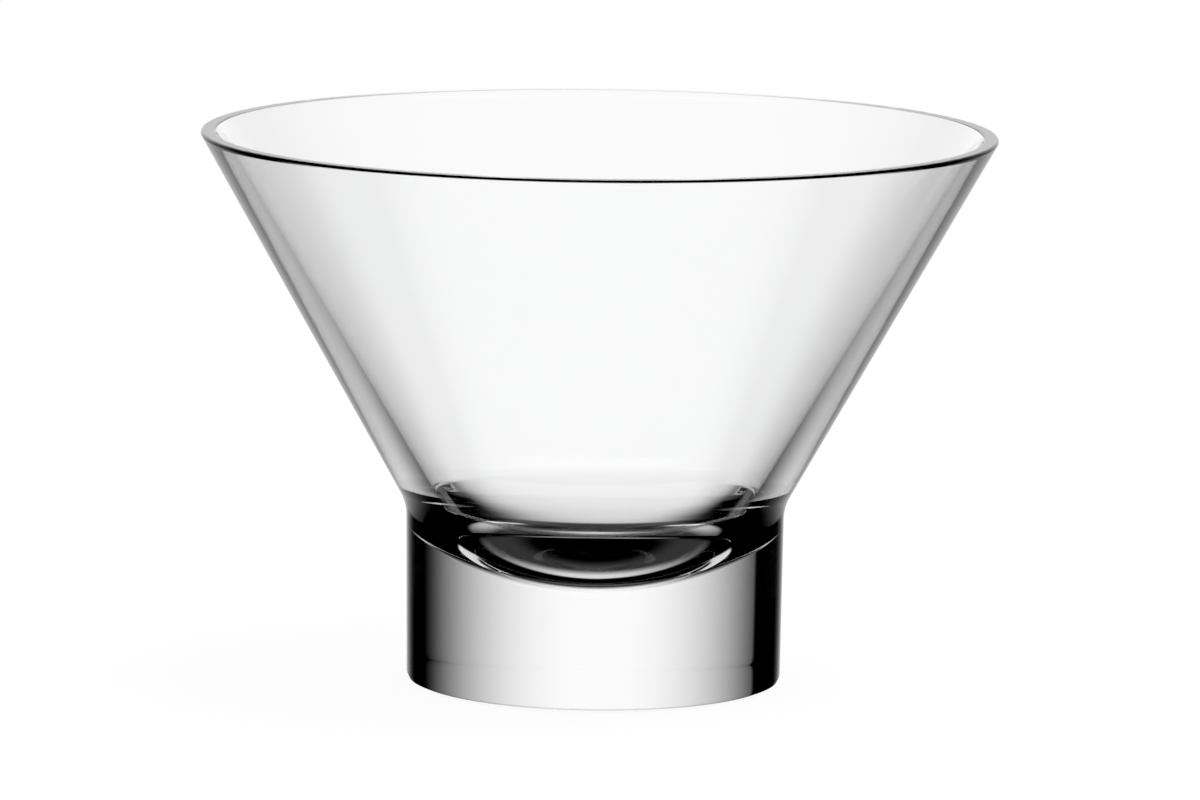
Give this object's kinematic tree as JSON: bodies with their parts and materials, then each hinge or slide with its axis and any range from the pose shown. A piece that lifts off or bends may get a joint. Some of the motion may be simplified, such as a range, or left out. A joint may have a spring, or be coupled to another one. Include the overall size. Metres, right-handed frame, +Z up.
{
  "type": "ice cream glass",
  "caption": "Clear heavy glass for serving ice cream, with a wide cone-shaped bowl that has a round inside bottom, fused to a solid round foot.",
  "frame": {"origin": "centre of the foot's flat underside, on the table", "axes": "+Z up along the axis of the glass; X and Y are alike because the glass is round"},
  "size_m": [0.1244, 0.1244, 0.0865],
  "materials": {
    "clear_glass": "clear, colourless, smooth and glossy all over"
  },
  "bodies": {
    "root": {"bowl": "clear_glass", "foot": "clear_glass"}
  },
  "joints": []
}
